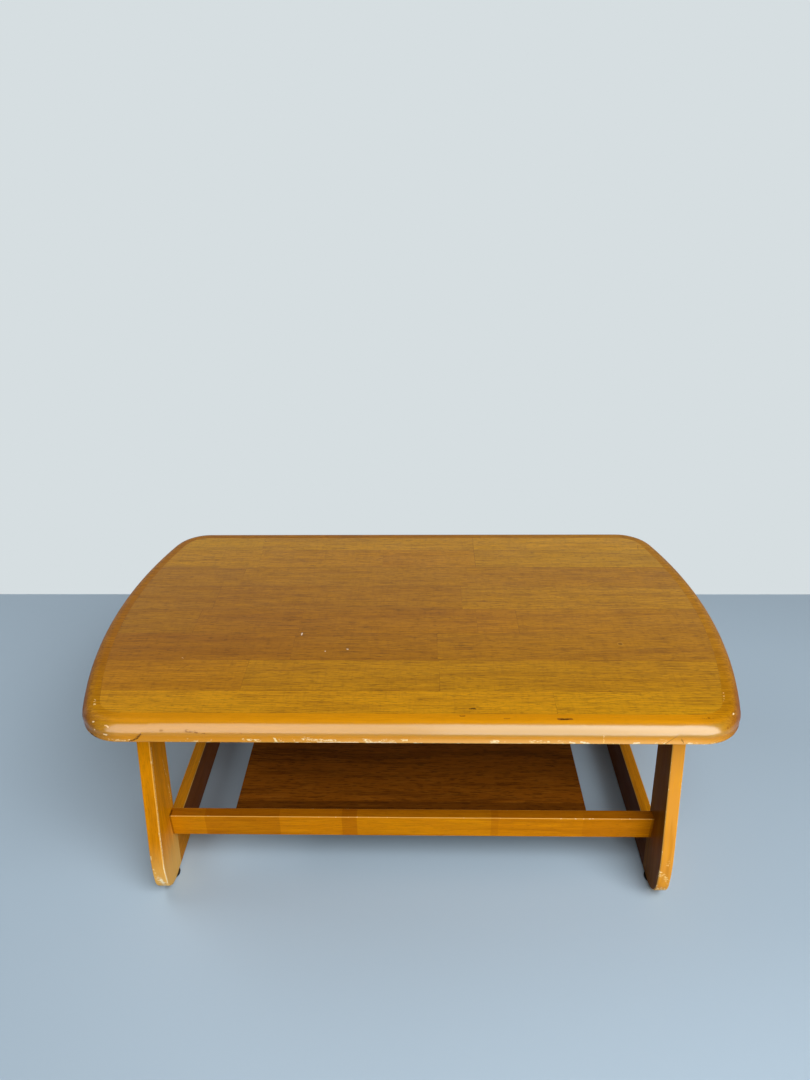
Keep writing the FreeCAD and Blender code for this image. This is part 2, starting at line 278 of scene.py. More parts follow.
def new_material(name: str) -> tuple[bpy.types.Material, Tree, bpy.types.Node]:
    """Make an empty node material.

    Args:
        name: the material's name.

    Returns:
        The material, its node tree and its shader node.
    """
    material = bpy.data.materials.new(name)
    material.use_nodes = True
    tree = material.node_tree
    tree.nodes.clear()
    shader = add(tree, Kind.PRINCIPLED)
    output = tree.nodes.new("ShaderNodeOutputMaterial")
    tree.links.new(shader, output.inputs["Surface"])
    return material, tree, shader.node


class GrainRun(Enum):
    """Which way a piece's grain runs: the turn that lays its long axis along X."""

    LENGTH = "length"
    DEPTH = "depth"
    FRONT_LEG = "front_leg"
    REAR_LEG = "rear_leg"

    def turn(self, splay: float) -> Point:
        """Euler angles of the turn.

        Args:
            splay: the legs' lean from the vertical, in radians.

        Returns:
            Angles about X, Y and Z.
        """
        quarter = math.pi / 2
        return {
            GrainRun.LENGTH: (0.0, 0.0, 0.0),
            GrainRun.DEPTH: (0.0, 0.0, -quarter),
            GrainRun.FRONT_LEG: (splay, quarter, 0.0),
            GrainRun.REAR_LEG: (-splay, quarter, 0.0),
        }[self]


@dataclass(frozen=True)
class Streaks:
    """One layer of a wood's figure: streaks of a real width and run along the grain, in mm.

    Real pores and fibres are a few tenths of a millimetre wide. They are drawn wider, so that
    they show in the picture.
    """

    colour: str
    width: float
    run: float
    share: float
    low: float = 0.42
    high: float = 0.68
    detail: float = 2.0

    def lay(self, tree: Tree, plank: Socket, colour: Feed) -> Socket:
        """Lay the streaks over a colour.

        Args:
            tree: the node tree.
            plank: coordinates in metres, with the grain along X.
            colour: the colour below.

        Returns:
            The new colour.
        """
        value = Grit(self.width, self.run, self.detail).draw(tree, plank)
        share = Band(self.low, self.high, self.share).spread(tree, value)
        return add(tree, Kind.MIX, share, colour, linear(self.colour))


@dataclass(frozen=True)
class Scar:
    """A dent, scratch or crack: a strip between two points, with all its sizes in mm.

    Its rim is where its cover starts and where it is full, as shares of its half width.
    """

    start: Point
    end: Point
    width: float
    colour: str
    strength: float = 0.85
    rim: tuple[float, float] = (1.15, 0.7)

    def cover(self, tree: Tree, place: Socket, flecks: Socket) -> Socket:
        """How much of the surface the scar covers.

        Args:
            tree: the node tree.
            place: coordinates in metres, a little unsteady so that the outline isn't clean.
            flecks: noise that a flaking scar follows; not used by a plain scar.

        Returns:
            A share from 0 to the scar's strength.
        """
        start = Vector(self.start) * MM
        reach = Vector(self.end) * MM - start
        away = add(tree, Kind.OFFSET, place, start)
        along = add(tree, Kind.DOT, away, reach)
        along = add(tree, Kind.TIMES, along, 1 / max(reach.length_squared, TINY),
                    use_clamp=True)
        foot = add(tree, Kind.SCALE, reach, along)
        far = add(tree, Kind.LENGTH, add(tree, Kind.OFFSET, away, foot))
        outside, inside = (self.width * MM / 2 * share for share in self.rim)
        return Band(outside, inside, self.strength).spread(tree, far)


@dataclass(frozen=True)
class Flaking(Scar):
    """A scar where lacquer and wood have come off in flecks."""

    flaked: Band = Band(0.5, 0.56)

    def cover(self, tree: Tree, place: Socket, flecks: Socket) -> Socket:
        """How much of the surface the flecks cover."""
        share = super().cover(tree, place, flecks)
        return chain(tree, Kind.TIMES, share, self.flaked.spread(tree, flecks))


@dataclass(frozen=True)
class LacqueredHardwood:
    """Solid hardwood, planed, stained orange and sprayed with nitrocellulose lacquer.

    The stain gives the deep orange, the lacquer a soft gloss. Arrises are rubbed paler, and
    where they have been knocked, both are gone and the bare pale wood shows. The grain wanders
    and a scar's outline shakes by some mm.
    """

    name: str
    base: str
    streaks: tuple[Streaks, ...]
    rubbed: str = "f4c46a"
    bare: str = "f4dca4"
    roughness: float = 0.42
    specular: float = 0.04
    ior: float = 1.5
    coat: float = 0.05
    coat_roughness: float = 0.2
    coat_ior: float = 1.5
    waves: Grit = Grit(90.0, 260.0, 1.0)
    wander: float = 14.0
    smears: Grit = Grit(30.0, 90.0, 3.0)
    smeared: Band = Band(0.2, 0.8, 0.14)
    fibres: Relief = Relief(Grit(1.8, 40.0, 3.0), 0.3, 0.08)
    rub: float = 0.55
    rub_from: float = 0.3
    rub_to: float = 0.95
    # Paler towards the feet: partly shoe scuffs, partly painted light from the floor.
    low_fade: Fade = Fade(Axis.HEIGHT, 0.15, 0.03)
    scuff_and_floor_light: float = 0.0
    chips: Grit = Grit(3.5, 7.0, 3.0)
    chip_level: float = 0.66
    chip_rim: float = 0.03
    chip_edge: Band = Band(0.25, 0.6)
    chip_feet: Fade = Fade(Axis.HEIGHT, 0.075, 0.003, 0.13)
    sheltered: Band = Band(-0.98, -0.85)
    flecks: Grit = Grit(2.4, 6.0)
    shake_size: float = 3.0
    shake: float = 4.0
    scars: tuple[Scar, ...] = ()

    def along_grain(self, tree: Tree, kind: Kind, run: GrainRun, splay: float) -> Socket:
        """The piece's own coordinates or normal, turned so that the grain is along X.

        Args:
            tree: the node tree.
            kind: PLACE or NORMAL.
            run: which way the grain runs.
            splay: the legs' lean, in radians.

        Returns:
            The turned vector.
        """
        return add(tree, Kind.TURN, add(tree, kind), run.turn(splay))

    def sway(self, tree: Tree, plank: Socket) -> Socket:
        """Let straight grain wander a little, as it does in a real plank.

        Args:
            tree: the node tree.
            plank: coordinates with the grain along X.

        Returns:
            Coordinates that wander.
        """
        wave = add(tree, Kind.MINUS, self.waves.draw(tree, plank), NOISE_MIDDLE)
        side = add(tree, Kind.TIMES, wave, self.wander * MM)
        return add(tree, Kind.MOVE, plank, add(tree, Kind.ASIDE, side))

    def figure(self, tree: Tree, plank: Socket) -> Socket:
        """Draw the grain.

        Args:
            tree: the node tree.
            plank: coordinates with the grain along X.

        Returns:
            The wood's colour with its grain on it.
        """
        colour: Feed = linear(self.base)
        for streaks in self.streaks:
            colour = streaks.lay(tree, plank, colour)
        return colour

    def arris(self, tree: Tree, normal: Socket) -> Socket:
        """How far the surface has turned between two faces of a board.

        Args:
            tree: the node tree.
            normal: the surface's normal.

        Returns:
            0 on a face, and 1 half way round, where two squares of 1/2 meet.
        """
        squares = add(tree, Kind.BY_PARTS, normal, normal)
        parts = add(tree, Kind.SPLIT, squares).node.outputs
        pairs = [chain(tree, Kind.TIMES, parts[i], parts[j], 4.0)
                 for i, j in ((0, 1), (0, 2), (1, 2))]
        return chain(tree, Kind.PLUS, *pairs)

    def in_sight(self, tree: Tree) -> Socket:
        """0 on the faces that look straight down, which nothing rubs or knocks, and else 1."""
        upward = add(tree, Kind.SPLIT, add(tree, Kind.NORMAL), out="Z")
        return self.sheltered.spread(tree, upward)

    def chipped(self, tree: Tree, plank: Socket, *more: Socket) -> Socket:
        """Flecks where the wood is chipped, and more of them where other values add to it."""
        speck = chain(tree, Kind.PLUS, self.chips.draw(tree, plank), *more)
        return Band(self.chip_level, self.chip_level + self.chip_rim).spread(tree, speck)

    def wear(self, tree: Tree, colour: Feed, plank: Socket, normal: Socket) -> Socket:
        """Rub the arrises paler and chip them, most of all at the feet, and pale the low parts,
        partly shoe scuffs and partly painted light from the floor.

        Args:
            tree: the node tree.
            colour: the wood's colour.
            plank: coordinates with the grain along X.
            normal: the normal, turned in the same way.

        Returns:
            The worn colour.
        """
        arris = self.arris(tree, normal)
        rubbed = Band(self.rub_from, self.rub_to, self.rub).spread(tree, arris)
        paled_low = chain(tree, Kind.TIMES, self.low_fade.share(tree), self.scuff_and_floor_light)
        for share in (rubbed, paled_low):
            colour = add(tree, Kind.MIX, share, colour, linear(self.rubbed))
        chips = self.chipped(tree, plank, self.chip_feet.share(tree))
        edge = self.chip_edge.spread(tree, arris)
        chips = chain(tree, Kind.TIMES, chips, edge, self.in_sight(tree))
        return add(tree, Kind.MIX, chips, colour, linear(self.bare))

    def scarred(self, tree: Tree, colour: Socket) -> tuple[Socket, Socket]:
        """Lay the scars over a colour.

        Args:
            tree: the node tree.
            colour: the colour below.

        Returns:
            The new colour, and the share of the coat that is left.
        """
        place = add(tree, Kind.PLACE)
        shake = add(tree, Kind.NOISE, place, 1 / (self.shake_size * MM), out="Color")
        shake = add(tree, Kind.OFFSET, shake, (NOISE_MIDDLE,) * 3)
        shake = add(tree, Kind.SCALE, shake, self.shake * MM)
        unsteady = add(tree, Kind.MOVE, place, shake)
        flecks = self.flecks.draw(tree, place)
        spoiled: Feed = 0.0
        for scar in self.scars:
            share = scar.cover(tree, unsteady, flecks)
            colour = add(tree, Kind.MIX, share, colour, linear(scar.colour))
            spoiled = chain(tree, Kind.PLUS, spoiled, share)
        return colour, add(tree, Kind.MINUS, 1.0, spoiled, use_clamp=True)

    def polish(self, tree: Tree) -> Feed:
        """The weight of the glossy coat."""
        return self.coat

    def build(self, run: GrainRun, splay: float = 0.0) -> bpy.types.Material:
        """Make the material for one run of the grain.

        Args:
            run: which way the grain runs.
            splay: the legs' lean, in radians.

        Returns:
            The material.
        """
        material, tree, shader = new_material(self.name + "_" + run.value)
        straight = self.along_grain(tree, Kind.PLACE, run, splay)
        normal = self.along_grain(tree, Kind.NORMAL, run, splay)
        plank = self.sway(tree, straight)
        colour = self.wear(tree, self.figure(tree, plank), straight, normal)
        coat = self.polish(tree)
        if self.scars:
            colour, left = self.scarred(tree, colour)
            coat = chain(tree, Kind.TIMES, coat, left)
        smears = self.smeared.spread(tree, self.smears.draw(tree, plank))
        set_inputs(tree, shader, {
            "Base Color": colour,
            "Roughness": chain(tree, Kind.PLUS, smears, self.roughness - self.smeared.most / 2),
            "Normal": self.fibres.bend(tree, plank),
            "Coat Weight": coat,
            "Coat Roughness": self.coat_roughness,
            "Coat IOR": self.coat_ior,
            "Specular IOR Level": self.specular,
            "IOR": self.ior,
        })
        return material


@dataclass(frozen=True)
class PaintedShadeHardwood(LacqueredHardwood):
    """The same hardwood, with painted shade: a deeper tone on the faces that look to the table's
    middle.

    Low at the front of the left end, where light comes in below the stretcher, painted light makes
    the tone paler, under a slanting line that rises to the front by its slope.
    """

    # Painted shade on the inner faces, and painted light where light comes in below the stretcher.
    inside: str = "8a7460"
    painted_light_inside: str = "ffffb4"
    inner: Fade = Fade(Axis.REACH, 0.4655, 0.4635)
    left: Fade = Fade(Axis.ACROSS, 0.0, -0.4)
    slope: float = 1.17
    below: Band = Band(-0.144, -0.194)

    def figure(self, tree: Tree, plank: Socket) -> Socket:
        """Draw the grain, paint shade on the inner faces and paint light low at the left front.

        Args:
            tree: the node tree.
            plank: coordinates with the grain along X.

        Returns:
            The colour with painted shade and light.
        """
        back = chain(tree, Kind.TIMES, Axis.DEPTH.read(tree), self.slope)
        level = chain(tree, Kind.PLUS, Axis.HEIGHT.read(tree), back)
        lit = chain(tree, Kind.TIMES, self.left.share(tree), self.below.spread(tree, level))
        tone = add(tree, Kind.MIX, lit, linear(self.inside), linear(self.painted_light_inside))
        colour = super().figure(tree, plank)
        return add(tree, Kind.SHADE, self.inner.share(tree), colour, tone)


@dataclass(frozen=True)
class FingerJointed(LacqueredHardwood):
    """The same hardwood in a long rail that is finger-jointed from short blocks.

    Each block took the stain a little differently. A block is its start in mm along the grain
    and its tone. The upper face, in the table top's shadow, is darker: painted shade.
    """

    blocks: tuple[tuple[float, str], ...] = ()
    joint: float = 0.5
    # Painted shade: the upper face is darker in the table top's shadow.
    painted_shade_upper: Patch = Patch("dcd2c4", (Fade(Axis.HEIGHT, 0.1446, 0.1458),), Kind.SHADE)

    def figure(self, tree: Tree, plank: Socket) -> Socket:
        """Draw the grain, give each block its tone, and paint shade on the upper face.

        Args:
            tree: the node tree.
            plank: coordinates with the grain along X.

        Returns:
            The colour of the blocks.
        """
        colour = super().figure(tree, plank)
        along = add(tree, Kind.SPLIT, plank)
        tone: Feed = linear("ffffff")
        for start, block in self.blocks:
            past = Band((start - self.joint) * MM, (start + self.joint) * MM).spread(tree, along)
            tone = add(tree, Kind.MIX, past, tone, linear(block))
        return self.painted_shade_upper.lay(tree, add(tree, Kind.SHADE, 1.0, colour, tone))


FRONT_EDGE = Fade(Axis.DEPTH, -0.294, -0.324)


@dataclass(frozen=True)
class LippingHardwood(LacqueredHardwood):
    """Solid hardwood lipping, moulded to a large round-over and polished by sleeves and hands.

    A thicker lacquer gives the bulge of the front a clear gloss. The front is lighter, partly worn
    by sleeves and partly painted light; the rest is darker towards the back and the left, partly
    age and partly painted shade. The bulge is darkened by painted shade, and the round-over of the
    ends, the back and the front corners is darker, partly grime and partly painted shade. The
    front's lower edge is rubbed pale, partly wear and partly painted light that grows to the
    right, and chipped, and a thin glue line shows where two lengths meet at a slanting cut, whose
    place is that across less its height.
    """

    chip_level: float = 0.73
    gloss_bulge: tuple[Fade, ...] = (
        Fade(Axis.DEPTH, -0.27, -0.318, 0.95), Fade(Axis.HEIGHT, 0.4499, 0.447),
        Fade(Axis.HEIGHT, 0.4235, 0.431))
    gloss_flat: tuple[Fade, ...] = (
        Fade(Axis.DEPTH, -0.3, -0.1, 0.14), Fade(Axis.HEIGHT, 0.447, 0.4498))
    gloss_least: float = 0.05
    # Lighter front: partly worn by sleeves, partly painted light on the upper round-over.
    sleeves_and_light: Patch = Patch("e4960a", (
        Fade(Axis.DEPTH, -0.22, -0.326, 0.65), Fade(Axis.REACH, 0.545, 0.455)))
    # Darker towards the back and the left: partly age, partly painted shade.
    age: Patch = Patch("e8dccc", (
        Fade(Axis.DEPTH, -0.3, -0.15), Fade(Axis.ACROSS, 0.5, 0.0, 1.0, 0.2)), Kind.SHADE)
    # Painted shade: the bulge is darker, more to the right, where the light on it is stronger.
    bulge_shade: Patch = Patch("a07606", (
        FRONT_EDGE, Fade(Axis.HEIGHT, 0.449, 0.4455), Fade(Axis.HEIGHT, 0.426, 0.434),
        Fade(Axis.ACROSS, -0.35, 0.3, 0.95, 0.5), Fade(Axis.REACH, 0.545, 0.49)))
    # Darker round-over behind the front edge: partly grime, partly painted shade.
    rim_grime_and_shade: Patch = Patch("7a3c04", (
        Fade(Axis.DEPTH, -0.326, -0.3, 0.5), Fade(Axis.HEIGHT, 0.4498, 0.438)))
    # Darker round-over at the front corners: partly grime, partly painted shade.
    corner_grime_and_shade: Patch = Patch("7a3c04", (
        Fade(Axis.REACH, 0.51, 0.56), Fade(Axis.DEPTH, -0.18, -0.28, 0.6),
        Fade(Axis.HEIGHT, 0.4499, 0.445)))
    edge: Fade = Fade(Axis.HEIGHT, 0.43, 0.4165)
    # Pale lower front edge: partly rubbed wear, partly painted light that grows to the right.
    rubbing_and_light: tuple[Fade, ...] = (
        FRONT_EDGE, Fade(Axis.ACROSS, -0.3, 0.1, 1.0, 0.3), Fade(Axis.ACROSS, 0.55, 0.44))
    clusters: Grit = Grit(30.0, 45.0, 1.0)
    clustered: Band = Band(0.4, 0.6, 0.08)
    lowest: Fade = Fade(Axis.HEIGHT, 0.4205, 0.4135, 0.12)
    chip_front: Fade = replace(FRONT_EDGE, least=0.4)
    glue: str = "5a3208"
    joints: tuple[float, ...] = ()
    joint_line: Band = Band(1.4 * MM, 0.5 * MM, 0.55)
    joint_end: Fade = Fade(Axis.HEIGHT, 0.438, 0.427)

    def polish(self, tree: Tree) -> Feed:
        """Full gloss on the bulge of the front edge, where sleeves rub, and less elsewhere.

        Args:
            tree: the node tree.

        Returns:
            The weight of the glossy coat.
        """
        bulge, flat = (area(tree, *fades) for fades in (self.gloss_bulge, self.gloss_flat))
        gloss = chain(tree, Kind.PLUS, bulge, flat, self.gloss_least)
        return add(tree, Kind.TIMES, gloss, self.coat)

    def wear(self, tree: Tree, colour: Feed, plank: Socket, normal: Socket) -> Socket:
        """Lay the tones of wear, grime and painted light and shade, rub and chip the edge, draw
        the joints.

        Args:
            tree: the node tree.
            colour: the wood's colour.
            plank: coordinates with the grain along X.
            normal: not used, since the whole section is round.

        Returns:
            The worn colour.
        """
        for patch in (self.sleeves_and_light, self.age, self.bulge_shade, self.rim_grime_and_shade, self.corner_grime_and_shade):
            colour = patch.lay(tree, colour)
        edge = chain(tree, Kind.TIMES, self.edge.share(tree), self.in_sight(tree))
        rub = chain(tree, Kind.TIMES, edge, area(tree, *self.rubbing_and_light), self.rub)
        colour = add(tree, Kind.MIX, rub, colour, linear(self.rubbed))
        cluster = self.clustered.spread(tree, self.clusters.draw(tree, plank))
        chips = self.chipped(tree, plank, cluster, self.lowest.share(tree))
        chips = chain(tree, Kind.TIMES, chips, edge, self.chip_front.share(tree))
        colour = add(tree, Kind.MIX, chips, colour, linear(self.bare))
        slant = chain(tree, Kind.MINUS, Axis.ACROSS.read(tree), Axis.HEIGHT.read(tree))
        for joint in self.joints:
            off = add(tree, Kind.SIZE, chain(tree, Kind.MINUS, slant, joint))
            line = chain(tree, Kind.TIMES, self.joint_line.spread(tree, off),
                         self.joint_end.share(tree))
            colour = add(tree, Kind.MIX, line, colour, linear(self.glue))
        return colour


@dataclass(frozen=True)
class LeafVeneer(LacqueredHardwood):
    """Sliced hardwood veneer in narrow leaves, butted side by side and end to end, and lacquered.

    Each leaf has its own figure and a tone that is partly its own and partly painted light and
    shade, read from the attributes that the field carries, and its joints show as fine dark lines,
    more open in some places than in others.
    """

    glue: str = "4a2608"
    gaps: Grit = Grit(60.0, 60.0)
    opened: Band = Band(0.35, 0.65, 0.5)

    def figure(self, tree: Tree, plank: Socket) -> Socket:
        """Draw the leaves, each with its own stretch of grain and its own tone.

        Args:
            tree: the node tree.
            plank: coordinates with the grain along X.

        Returns:
            The colour of the leaves.
        """
        shift = add(tree, Kind.ATTRIBUTE, out="Vector", attribute_name="leaf_shift")
        colour = super().figure(tree, add(tree, Kind.MOVE, plank, shift))
        tone = add(tree, Kind.ATTRIBUTE, out="Color", attribute_name="leaf_tone")
        return add(tree, Kind.SHADE, 1.0, colour, tone)

    def wear(self, tree: Tree, colour: Feed, plank: Socket, normal: Socket) -> Socket:
        """Draw the joints.

        Args:
            tree: the node tree.
            colour: the leaves' colour.
            plank: coordinates with the grain along X.
            normal: not used by a flat field.

        Returns:
            The colour with its joints.
        """
        joint = add(tree, Kind.ATTRIBUTE, attribute_name="leaf_joint")
        opened = self.opened.spread(tree, self.gaps.draw(tree, plank))
        share = chain(tree, Kind.TIMES, joint, opened)
        return add(tree, Kind.MIX, share, colour, linear(self.glue))


@dataclass(frozen=True)
class RawBoard:
    """Sawn core board, balancing veneer or beech dowel, left raw: pale, dull and fibrous."""

    name: str
    base: str
    streaks: tuple[Streaks, ...]
    fibres: Relief = Relief(Grit(1.2, 30.0, 3.0), 0.3, 0.2)
    fuzz: Band = Band(0.2, 0.8, 0.15)
    roughness: float = 0.68

    def build(self) -> bpy.types.Material:
        """Make the material, with its grain along X.

        Returns:
            The material.
        """
        material, tree, shader = new_material(self.name)
        place = add(tree, Kind.PLACE)
        colour: Feed = linear(self.base)
        for streaks in self.streaks:
            colour = streaks.lay(tree, place, colour)
        fuzz = self.fuzz.spread(tree, self.fibres.grit.draw(tree, place))
        set_inputs(tree, shader, {
            "Base Color": colour,
            "Roughness": chain(tree, Kind.PLUS, fuzz, self.roughness),
            "Normal": self.fibres.bend(tree, place),
        })
        return material


@dataclass(frozen=True)
class MarkedFinish:
    """A finish of one colour, marked in places by another and rougher there."""

    name: str
    colour: str
    marked: str
    marks: Grit
    marking: Band
    relief: Relief
    roughness: float
    metallic: float = 0.0

    def build(self) -> bpy.types.Material:
        """Make the material.

        Returns:
            The material.
        """
        material, tree, shader = new_material(self.name)
        place = add(tree, Kind.PLACE)
        mark = self.marking.spread(tree, self.marks.draw(tree, place))
        set_inputs(tree, shader, {
            "Base Color": add(tree, Kind.MIX, mark, linear(self.colour), linear(self.marked)),
            "Metallic": self.metallic,
            "Roughness": chain(tree, Kind.PLUS, mark, self.roughness),
            "Normal": self.relief.bend(tree, place),
        })
        return material


@dataclass(frozen=True)
class MouldedPlastic(MarkedFinish):
    """Black polyethylene, injection moulded: soft sheen, fine orange-peel, scuffed below."""

    marks: Grit = Grit(2.5, 2.5, 4.0)
    marking: Band = Band(0.5, 0.75, 0.6)
    relief: Relief = Relief(Grit(0.8, 0.8), 0.1, 0.15)
    roughness: float = 0.35


@dataclass(frozen=True)
class ZincSteel(MarkedFinish):
    """Steel wire, cold headed and zinc plated: a dull yellowish metal with fine drawing lines."""

    marks: Grit = Grit(2.0, 2.0, 3.0)
    marking: Band = Band(0.4, 0.75, 0.7)
    relief: Relief = Relief(Grit(0.25, 6.0, 1.0), 0.05, 0.1)
    roughness: float = 0.28
    metallic: float = 1.0


FRAME_GRAIN = (
    Streaks("a86208", 12.0, 300.0, 0.4),
    Streaks("e8a00a", 5.0, 100.0, 0.3, 0.5, 0.7),
    Streaks("7a4406", 2.4, 36.0, 0.2),
    Streaks("5a3006", 1.7, 10.0, 0.16, 0.58, 0.68, 1.0),
)
VENEER_GRAIN = (
    Streaks("965c08", 14.0, 260.0, 0.3),
    Streaks("e0a214", 6.0, 120.0, 0.3, 0.5, 0.72),
    Streaks("8a5a18", 30.0, 5.0, 0.14, 0.5, 0.7),
    Streaks("5e3608", 2.0, 60.0, 0.38, 0.44, 0.66),
    Streaks("3e2004", 1.5, 14.0, 0.36, 0.55, 0.66, 1.0),
)
SHELF_GRAIN = (
    Streaks("4c2404", 14.0, 260.0, 0.5),
    Streaks("a8681c", 2.4, 60.0, 0.4, 0.5, 0.68),
    Streaks("2a1202", 1.8, 18.0, 0.5, 0.52, 0.66, 1.0),
)
RAW_GRAIN = (
    Streaks("a87844", 16.0, 500.0, 0.5),
    Streaks("8c6032", 1.8, 50.0, 0.35),
)
# The marks that show in the photograph, in mm.
LEG_SCARS = (
    Flaking((-478, -321.6, 56), (-469, -320, 36), 12, "fbe6b8"),
    Scar((-474, -321.6, 50), (-471, -321, 42), 6, "fdf0cc", 0.9),
    Flaking((-483.5, -320, 80), (-482, -320.5, 70), 4, "f8dca0"),
    Scar((-485, -317, 110), (-485, -317, 102), 3.2, "f4d898"),
    Scar((-463.6, -260.2, 330), (-463.6, -306, 146), 2.8, "f4d898", 0.7),
    Scar((-463.6, -306, 146), (-463.4, -319.5, 80), 3.2, "fbe6b0", 0.8),
    Scar((-463.4, -319.5, 80), (-463.4, -319.5, 40), 3.2, "fbeabc", 0.8),
    Flaking((-463, -227, 266), (-463, -227, 225), 4, "f0c878"),
    Flaking((-463, -228, 200), (-463, -229, 166), 5, "f0c878"),
)
PALE_LEG_SCARS = (
    Flaking((465.5, -320, 84), (470, -306, 12), 8, "f6e0a6"),
    Flaking((472, -320, 75), (484, -320, 55), 9, "f0cc80"),
    Flaking((476, -320, 100), (484, -320, 128), 8, "f0cc80", 0.7),
)
LIPPING_SCARS = (
    Scar((-530, -318, 419), (-514, -326.5, 415), 2.8, "2c1206"),
    Flaking((-493.5, -333, 420.5), (-460, -334, 419), 3.6, "fbe4ac"),
    Scar((-460, -334, 416.5), (-446, -334, 422.5), 2.2, "3a1a08"),
    Scar((-446, -334, 422.5), (-439, -333.5, 432), 2.2, "4a220c"),
    Scar((-521.7, -316.6, 442.9), (-520.7, -316.6, 442.9), 3.2, "fce8b8"),
    Scar((-519, -324.1, 433.2), (-518, -324.1, 433.2), 3.2, "fce8b8"),
    Flaking((-498, -326.8, 442.3), (-494, -327.6, 442.3), 5, "fcd8a0"),
    Scar((-500.5, -331.6, 429.3), (-496, -332.2, 429), 3.6, "fce8b8"),
    Flaking((-536.7, -268.7, 450), (-529.1, -286.3, 450), 4, "f0cc80"),
    Scar((-406, -331.5, 438.1), (-403, -331.5, 438.1), 3.4, "8a5a14", 0.6),
    Flaking((-363.5, -331.8, 437.5), (-334, -333.2, 434), 4.6, "7a4a0c", 0.75),
    Flaking((-298, -333.2, 434), (-271, -333.2, 433.6), 3, "9a600c", 0.6),
    Flaking((-270, -334, 422.5), (-243, -334, 419), 5, "fbe8b4"),
    Scar((-219, -334, 424), (-217, -334, 419), 4, "fbe8b4"),
    Flaking((-172, -334, 424.5), (-164, -334, 422), 8, "fdeec0"),
    Flaking((-156, -334, 421), (-120, -334, 420.5), 5, "fbe8b4"),
    Scar((-148, -334, 416.5), (-82, -334, 416.5), 2.2, "fce8c0"),
    Flaking((-72, -334, 421.5), (-62, -334, 420), 7, "fdeec0"),
    Flaking((-43, -334, 422.5), (-24, -334, 421), 5, "fbe8b4"),
    Scar((-69, -334, 416.5), (-20, -334, 416.5), 2.2, "fce8c0"),
    Flaking((-11, -334, 421), (-2, -334, 421), 6, "fbe8b4"),
    Flaking((137, -334, 420), (146, -334, 419.5), 7, "fdeec0"),
    Flaking((200, -334, 420.5), (229, -334, 419), 5.6, "fbe8b4"),
    Flaking((246, -334, 420.5), (253, -334, 419), 4, "fbe8b4"),
    Scar((264, -334, 419), (272, -334, 416.5), 3.2, "fdf0c8"),
    Scar((282, -334, 419.5), (296, -334, 415.5), 3.2, "fdf0c8"),
    Scar((317.7, -333.5, 432), (319.3, -334, 417.5), 1.8, "f8d890", 0.7),
    Scar((367, -334, 416.5), (376, -334, 418), 3.6, "fdf0c8"),
    Scar((443, -334, 427), (447.7, -334, 418.3), 2, "7a4a14", 0.7),
    Scar((456, -334, 417.5), (461, -334, 417.5), 3.4, "fdf0c8"),
    Flaking((466, -334, 417.5), (503, -331.5, 416.5), 3.8, "f8cc88"),
    Flaking((537, -245.5, 450), (529, -271, 450), 2.6, "eec070", 0.8),
    Scar((535.4, -297.4, 447.1), (536, -296, 447.1), 3, "fce8b8"),
    Flaking((481, -310, 450), (497, -310, 450), 3.6, "7a4606", 0.7),
    Scar((519.5, -320.9, 438.8), (520.5, -320.9, 438.8), 4.4, "7a4606", 0.6),
    Scar((85.7, -307.4, 450), (93.7, -307.4, 450), 2.6, "6a3a10", 0.7),
    Scar((246, -313.6, 450), (268, -313.6, 450), 4.6, "6e3c14", 0.75),
    Scar((250, -314.2, 450), (262, -314.2, 450), 2.2, "2e1406", 0.8),
    Scar((158, -312.9, 450), (167, -312.9, 450), 2.4, "8a5010", 0.6),
)
VENEER_SCARS = (
    Scar((-206.8, -78, 450), (-206.8, -84, 450), 2.6, "f6ead0"),
    Scar((-156.6, -133.7, 450), (-155.6, -134.7, 450), 2.4, "f0e0c0"),
    Scar((-116.3, -127, 450), (-114.3, -128, 450), 2.4, "f0e0c0"),
    Scar((-240, -34, 450), (-230, -34.4, 450), 3, "5a3410", 0.6),
    Scar((-418, -154, 450), (-415, -157, 450), 1.8, "d8b070", 0.7),
    Scar((-401.9, -175.9, 450), (-415.6, -191.7, 450), 1.8, "6a4214", 0.6),
    Scar((392.8, -110.7, 450), (393.8, -110.7, 450), 12, "c8943c", 0.35),
    Scar((392.8, -110.7, 450), (393.8, -110.7, 450), 7.5, "5c3810", 0.6),
    Scar((103, -289.6, 450), (112, -289.6, 450), 3.4, "3a1a08", 0.85),
    Scar((516, 245, 450), (520, 265, 450), 2, "6a3e10", 0.5),
)
# Dark marks where the stretchers meet the legs: partly dark joints, partly painted contact shade.
STRETCHER_SCARS = (
    Scar((-461.5, -251, 146.5), (-461.5, -240, 146.5), 5, "3a1804", 0.7),
    Scar((-462.5, -253.2, 144), (-462.5, -253.2, 98), 6, "6a3a06", 0.6),
    Scar((462.5, -253.2, 144), (462.5, -253.2, 98), 8, "6a3a06", 0.5),
)


def dress(nodes: Iterable[str], material: bpy.types.Material) -> None:
    """Give CAD nodes a finish, in every material slot they have.

    Args:
        nodes: the nodes' names.
        material: their finish.
    """
    for name in nodes:
        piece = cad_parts[name]
        piece.data.materials.clear()
        piece.data.materials.append(material)
        log.info("dressed %s with %s", name, material.name)


class Tone(Enum):
    """The share of the light that a leaf keeps: partly its stained tone, partly painted light and
    shade.
    """

    CREAM = "fffcf0"
    STRAW = "fcffe8"
    HONEY = "edf1e0"
    AMBER = "e9e7dc"
    RUSSET = "e4d7cc"
    TAN = "e2dcd2"
    FAWN = "dcd4d0"
    OLIVE = "d1c8c4"
    BROWN = "d0c2af"
    UMBER = "cbbaa8"


@dataclass(frozen=True)
class LeafRow:
    """A row of leaves: its front joint in mm along Y, and each leaf's start along X and tone."""

    front: float
    leaves: tuple[tuple[float, Tone], ...]


